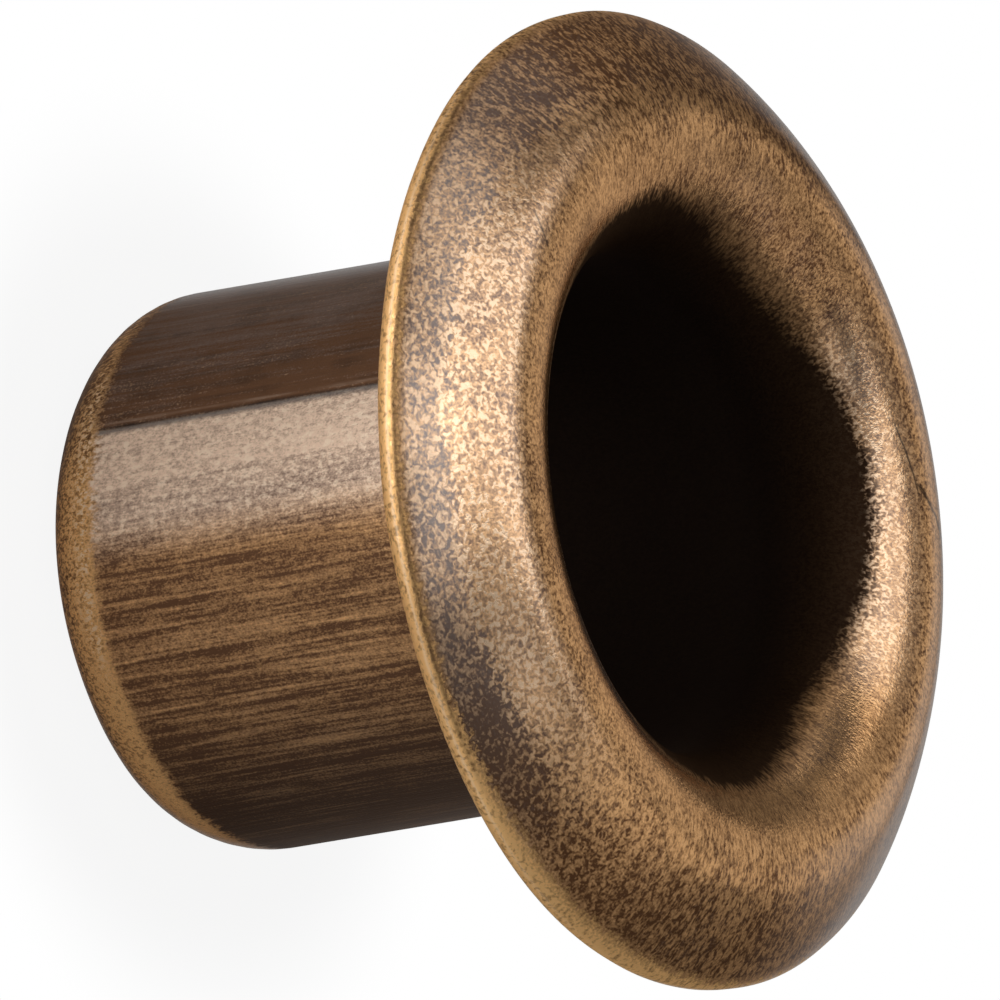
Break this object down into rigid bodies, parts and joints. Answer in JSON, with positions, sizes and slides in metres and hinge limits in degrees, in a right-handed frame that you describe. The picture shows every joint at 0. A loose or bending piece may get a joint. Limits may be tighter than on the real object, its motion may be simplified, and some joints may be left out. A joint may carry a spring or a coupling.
{
  "type": "metal grommet",
  "caption": "Drawn sheet-brass grommet with a domed flange, a broad rolled lip and a plain barrel that lines and guards a hole in cloth, leather or card.",
  "frame": {"origin": "on the bore's axis, in the plane of the sole that the barrel's foot stands on", "axes": "+Z along the bore, from the foot of the barrel up to the crown of the flange; X and Y are any two directions across the round part"},
  "size_m": [0.0078, 0.0078, 0.0052],
  "materials": {
    "antique_brass": "tumbled antique patina, worn to brass on the rim and the foot"
  },
  "bodies": {
    "root": {"grommet": "antique_brass"}
  },
  "joints": []
}
